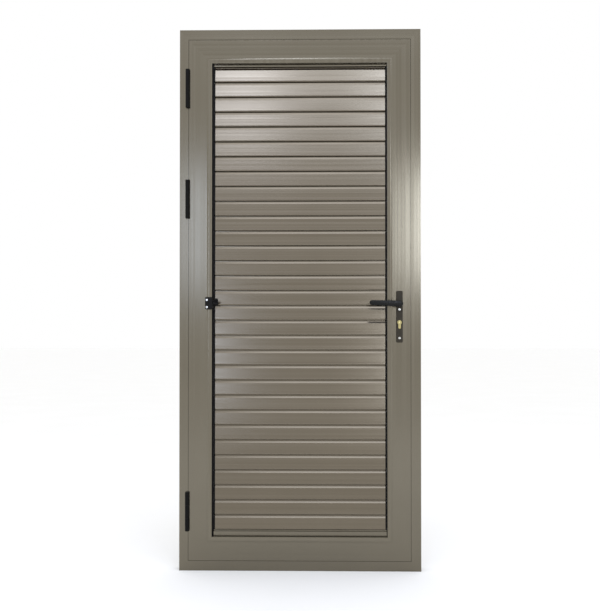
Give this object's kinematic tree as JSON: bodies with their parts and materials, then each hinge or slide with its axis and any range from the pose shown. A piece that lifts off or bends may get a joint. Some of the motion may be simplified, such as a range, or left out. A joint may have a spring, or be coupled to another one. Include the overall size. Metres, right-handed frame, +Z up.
{
  "type": "aluminium louvred door in its frame",
  "caption": "Side-hung aluminium louvred door in its outer frame, with tilting blades, a blade operator, lever handles and face-fixed butt hinges.",
  "frame": {"origin": "middle of the underside of the threshold, in the middle of the frame's depth", "axes": "+Z up, the outside face looks along -Y, the hinges are at -X and the lock at +X"},
  "size_m": [0.936, 0.136, 2.1],
  "materials": {
    "anodised_aluminium": "bronze-champagne anodised extrusion, satin",
    "mill_aluminium": "mill finish flat bar",
    "black_nylon": "moulded black nylon, satin",
    "black_painted_metal": "black powder coat, semi-gloss",
    "black_rubber": "extruded EPDM seal",
    "stainless_steel": "brushed stainless steel",
    "brass": "polished brass"
  },
  "bodies": {
    "frame": {"hinge_jamb": "anodised_aluminium", "lock_jamb": "anodised_aluminium", "head": "anodised_aluminium", "threshold": "anodised_aluminium", "frame_seal": "black_rubber", "frame_hinges": "black_painted_metal", "strike_plate": "stainless_steel"},
    "leaf": {"hinge_stile": "anodised_aluminium", "lock_stile": "anodised_aluminium", "top_rail": "anodised_aluminium", "bottom_rail": "anodised_aluminium", "louvre_beads": "anodised_aluminium", "left_pivot_channel": "black_nylon", "right_pivot_channel": "black_nylon", "head_trim": "anodised_aluminium", "sill_trim": "anodised_aluminium", "leaf_hinges": "black_painted_metal", "outer_handle_plate": "black_painted_metal", "inner_handle_plate": "black_painted_metal", "lock_cylinder": "brass", "mortice_lock": "stainless_steel", "lock_faceplate": "stainless_steel", "operator_base": "black_nylon"},
    "handle": {"outer_lever": "black_painted_metal", "inner_lever": "black_painted_metal", "spindle": "stainless_steel"},
    "operator_lever": {"operator_lever": "black_nylon"},
    "tie_bar": {"tie_bar": "mill_aluminium"},
    "blade_01": {"blade_01": "anodised_aluminium"},
    "blade_02": {"blade_02": "anodised_aluminium"},
    "blade_03": {"blade_03": "anodised_aluminium"},
    "blade_04": {"blade_04": "anodised_aluminium"},
    "blade_05": {"blade_05": "anodised_aluminium"},
    "blade_06": {"blade_06": "anodised_aluminium"},
    "blade_07": {"blade_07": "anodised_aluminium"},
    "blade_08": {"blade_08": "anodised_aluminium"},
    "blade_09": {"blade_09": "anodised_aluminium"},
    "blade_10": {"blade_10": "anodised_aluminium"},
    "blade_11": {"blade_11": "anodised_aluminium"},
    "blade_12": {"blade_12": "anodised_aluminium"},
    "blade_13": {"blade_13": "anodised_aluminium"},
    "blade_14": {"blade_14": "anodised_aluminium"},
    "blade_15": {"blade_15": "anodised_aluminium"},
    "blade_16": {"blade_16": "anodised_aluminium"},
    "blade_17": {"blade_17": "anodised_aluminium"},
    "blade_18": {"blade_18": "anodised_aluminium"},
    "blade_19": {"blade_19": "anodised_aluminium"},
    "blade_20": {"blade_20": "anodised_aluminium"},
    "blade_21": {"blade_21": "anodised_aluminium"},
    "blade_22": {"blade_22": "anodised_aluminium"},
    "blade_23": {"blade_23": "anodised_aluminium"},
    "blade_24": {"blade_24": "anodised_aluminium"},
    "blade_25": {"blade_25": "anodised_aluminium"},
    "blade_26": {"blade_26": "anodised_aluminium"},
    "blade_27": {"blade_27": "anodised_aluminium"},
    "blade_28": {"blade_28": "anodised_aluminium"},
    "blade_29": {"blade_29": "anodised_aluminium"},
    "blade_30": {"blade_30": "anodised_aluminium"},
    "blade_31": {"blade_31": "anodised_aluminium"}
  },
  "joints": [
    {"name": "leaf_swing", "type": "hinge", "parent": "frame", "child": "leaf", "pos_m": [-0.4366, -0.04, 0], "axis": [0, 0, -1], "range_deg": [0, 110]},
    {"name": "handle_turn", "type": "hinge", "parent": "leaf", "child": "handle", "pos_m": [0.385, 0, 1.033], "axis": [0, -1, 0], "range_deg": [0, 45], "stiffness_Nm_per_rad": 1.5, "springref_deg": -17.19},
    {"name": "blade_01_tilt", "type": "hinge", "parent": "leaf", "child": "blade_01", "pos_m": [0, -0.002, 1.92797], "axis": [-1, 0, 0], "range_deg": [0, 80]},
    {"name": "blade_02_tilt", "type": "hinge", "parent": "leaf", "child": "blade_02", "pos_m": [0, -0.002, 1.8697], "axis": [-1, 0, 0], "range_deg": [0, 80]},
    {"name": "blade_03_tilt", "type": "hinge", "parent": "leaf", "child": "blade_03", "pos_m": [0, -0.002, 1.81144], "axis": [-1, 0, 0], "range_deg": [0, 80]},
    {"name": "blade_04_tilt", "type": "hinge", "parent": "leaf", "child": "blade_04", "pos_m": [0, -0.002, 1.75317], "axis": [-1, 0, 0], "range_deg": [0, 80]},
    {"name": "blade_05_tilt", "type": "hinge", "parent": "leaf", "child": "blade_05", "pos_m": [0, -0.002, 1.69491], "axis": [-1, 0, 0], "range_deg": [0, 80]},
    {"name": "blade_06_tilt", "type": "hinge", "parent": "leaf", "child": "blade_06", "pos_m": [0, -0.002, 1.63664], "axis": [-1, 0, 0], "range_deg": [0, 80]},
    {"name": "blade_07_tilt", "type": "hinge", "parent": "leaf", "child": "blade_07", "pos_m": [0, -0.002, 1.57838], "axis": [-1, 0, 0], "range_deg": [0, 80]},
    {"name": "blade_08_tilt", "type": "hinge", "parent": "leaf", "child": "blade_08", "pos_m": [0, -0.002, 1.52012], "axis": [-1, 0, 0], "range_deg": [0, 80]},
    {"name": "blade_09_tilt", "type": "hinge", "parent": "leaf", "child": "blade_09", "pos_m": [0, -0.002, 1.46185], "axis": [-1, 0, 0], "range_deg": [0, 80]},
    {"name": "blade_10_tilt", "type": "hinge", "parent": "leaf", "child": "blade_10", "pos_m": [0, -0.002, 1.40359], "axis": [-1, 0, 0], "range_deg": [0, 80]},
    {"name": "blade_11_tilt", "type": "hinge", "parent": "leaf", "child": "blade_11", "pos_m": [0, -0.002, 1.34532], "axis": [-1, 0, 0], "range_deg": [0, 80]},
    {"name": "blade_12_tilt", "type": "hinge", "parent": "leaf", "child": "blade_12", "pos_m": [0, -0.002, 1.28706], "axis": [-1, 0, 0], "range_deg": [0, 80]},
    {"name": "blade_13_tilt", "type": "hinge", "parent": "leaf", "child": "blade_13", "pos_m": [0, -0.002, 1.22879], "axis": [-1, 0, 0], "range_deg": [0, 80]},
    {"name": "blade_14_tilt", "type": "hinge", "parent": "leaf", "child": "blade_14", "pos_m": [0, -0.002, 1.17053], "axis": [-1, 0, 0], "range_deg": [0, 80]},
    {"name": "blade_15_tilt", "type": "hinge", "parent": "leaf", "child": "blade_15", "pos_m": [0, -0.002, 1.11227], "axis": [-1, 0, 0], "range_deg": [0, 80]},
    {"name": "louvre_tilt", "type": "hinge", "parent": "leaf", "child": "blade_16", "pos_m": [0, -0.002, 1.054], "axis": [-1, 0, 0], "range_deg": [0, 80]},
    {"name": "blade_17_tilt", "type": "hinge", "parent": "leaf", "child": "blade_17", "pos_m": [0, -0.002, 0.99574], "axis": [-1, 0, 0], "range_deg": [0, 80]},
    {"name": "blade_18_tilt", "type": "hinge", "parent": "leaf", "child": "blade_18", "pos_m": [0, -0.002, 0.93747], "axis": [-1, 0, 0], "range_deg": [0, 80]},
    {"name": "blade_19_tilt", "type": "hinge", "parent": "leaf", "child": "blade_19", "pos_m": [0, -0.002, 0.87921], "axis": [-1, 0, 0], "range_deg": [0, 80]},
    {"name": "blade_20_tilt", "type": "hinge", "parent": "leaf", "child": "blade_20", "pos_m": [0, -0.002, 0.82094], "axis": [-1, 0, 0], "range_deg": [0, 80]},
    {"name": "blade_21_tilt", "type": "hinge", "parent": "leaf", "child": "blade_21", "pos_m": [0, -0.002, 0.76268], "axis": [-1, 0, 0], "range_deg": [0, 80]},
    {"name": "blade_22_tilt", "type": "hinge", "parent": "leaf", "child": "blade_22", "pos_m": [0, -0.002, 0.70441], "axis": [-1, 0, 0], "range_deg": [0, 80]},
    {"name": "blade_23_tilt", "type": "hinge", "parent": "leaf", "child": "blade_23", "pos_m": [0, -0.002, 0.64615], "axis": [-1, 0, 0], "range_deg": [0, 80]},
    {"name": "blade_24_tilt", "type": "hinge", "parent": "leaf", "child": "blade_24", "pos_m": [0, -0.002, 0.58788], "axis": [-1, 0, 0], "range_deg": [0, 80]},
    {"name": "blade_25_tilt", "type": "hinge", "parent": "leaf", "child": "blade_25", "pos_m": [0, -0.002, 0.52962], "axis": [-1, 0, 0], "range_deg": [0, 80]},
    {"name": "blade_26_tilt", "type": "hinge", "parent": "leaf", "child": "blade_26", "pos_m": [0, -0.002, 0.47136], "axis": [-1, 0, 0], "range_deg": [0, 80]},
    {"name": "blade_27_tilt", "type": "hinge", "parent": "leaf", "child": "blade_27", "pos_m": [0, -0.002, 0.41309], "axis": [-1, 0, 0], "range_deg": [0, 80]},
    {"name": "blade_28_tilt", "type": "hinge", "parent": "leaf", "child": "blade_28", "pos_m": [0, -0.002, 0.35483], "axis": [-1, 0, 0], "range_deg": [0, 80]},
    {"name": "blade_29_tilt", "type": "hinge", "parent": "leaf", "child": "blade_29", "pos_m": [0, -0.002, 0.29656], "axis": [-1, 0, 0], "range_deg": [0, 80]},
    {"name": "blade_30_tilt", "type": "hinge", "parent": "leaf", "child": "blade_30", "pos_m": [0, -0.002, 0.2383], "axis": [-1, 0, 0], "range_deg": [0, 80]},
    {"name": "blade_31_tilt", "type": "hinge", "parent": "leaf", "child": "blade_31", "pos_m": [0, -0.002, 0.18003], "axis": [-1, 0, 0], "range_deg": [0, 80]},
    {"name": "tie_bar_ride", "type": "hinge", "parent": "blade_16", "child": "tie_bar", "pos_m": [-0.35, 0.00566, 1.06043], "axis": [-1, 0, 0], "range_deg": [-80, 0]},
    {"name": "operator_turn", "type": "hinge", "parent": "leaf", "child": "operator_lever", "pos_m": [-0.326, -0.039, 1.0355], "axis": [1, 0, 0], "range_deg": [0, 80]}
  ],
  "couplings": [
    {"joint": "blade_01_tilt", "follows": "louvre_tilt", "ratio": 1},
    {"joint": "blade_02_tilt", "follows": "louvre_tilt", "ratio": 1},
    {"joint": "blade_03_tilt", "follows": "louvre_tilt", "ratio": 1},
    {"joint": "blade_04_tilt", "follows": "louvre_tilt", "ratio": 1},
    {"joint": "blade_05_tilt", "follows": "louvre_tilt", "ratio": 1},
    {"joint": "blade_06_tilt", "follows": "louvre_tilt", "ratio": 1},
    {"joint": "blade_07_tilt", "follows": "louvre_tilt", "ratio": 1},
    {"joint": "blade_08_tilt", "follows": "louvre_tilt", "ratio": 1},
    {"joint": "blade_09_tilt", "follows": "louvre_tilt", "ratio": 1},
    {"joint": "blade_10_tilt", "follows": "louvre_tilt", "ratio": 1},
    {"joint": "blade_11_tilt", "follows": "louvre_tilt", "ratio": 1},
    {"joint": "blade_12_tilt", "follows": "louvre_tilt", "ratio": 1},
    {"joint": "blade_13_tilt", "follows": "louvre_tilt", "ratio": 1},
    {"joint": "blade_14_tilt", "follows": "louvre_tilt", "ratio": 1},
    {"joint": "blade_15_tilt", "follows": "louvre_tilt", "ratio": 1},
    {"joint": "blade_17_tilt", "follows": "louvre_tilt", "ratio": 1},
    {"joint": "blade_18_tilt", "follows": "louvre_tilt", "ratio": 1},
    {"joint": "blade_19_tilt", "follows": "louvre_tilt", "ratio": 1},
    {"joint": "blade_20_tilt", "follows": "louvre_tilt", "ratio": 1},
    {"joint": "blade_21_tilt", "follows": "louvre_tilt", "ratio": 1},
    {"joint": "blade_22_tilt", "follows": "louvre_tilt", "ratio": 1},
    {"joint": "blade_23_tilt", "follows": "louvre_tilt", "ratio": 1},
    {"joint": "blade_24_tilt", "follows": "louvre_tilt", "ratio": 1},
    {"joint": "blade_25_tilt", "follows": "louvre_tilt", "ratio": 1},
    {"joint": "blade_26_tilt", "follows": "louvre_tilt", "ratio": 1},
    {"joint": "blade_27_tilt", "follows": "louvre_tilt", "ratio": 1},
    {"joint": "blade_28_tilt", "follows": "louvre_tilt", "ratio": 1},
    {"joint": "blade_29_tilt", "follows": "louvre_tilt", "ratio": 1},
    {"joint": "blade_30_tilt", "follows": "louvre_tilt", "ratio": 1},
    {"joint": "blade_31_tilt", "follows": "louvre_tilt", "ratio": 1},
    {"joint": "tie_bar_ride", "follows": "louvre_tilt", "ratio": -1},
    {"joint": "operator_turn", "follows": "louvre_tilt", "ratio": 1}
  ]
}
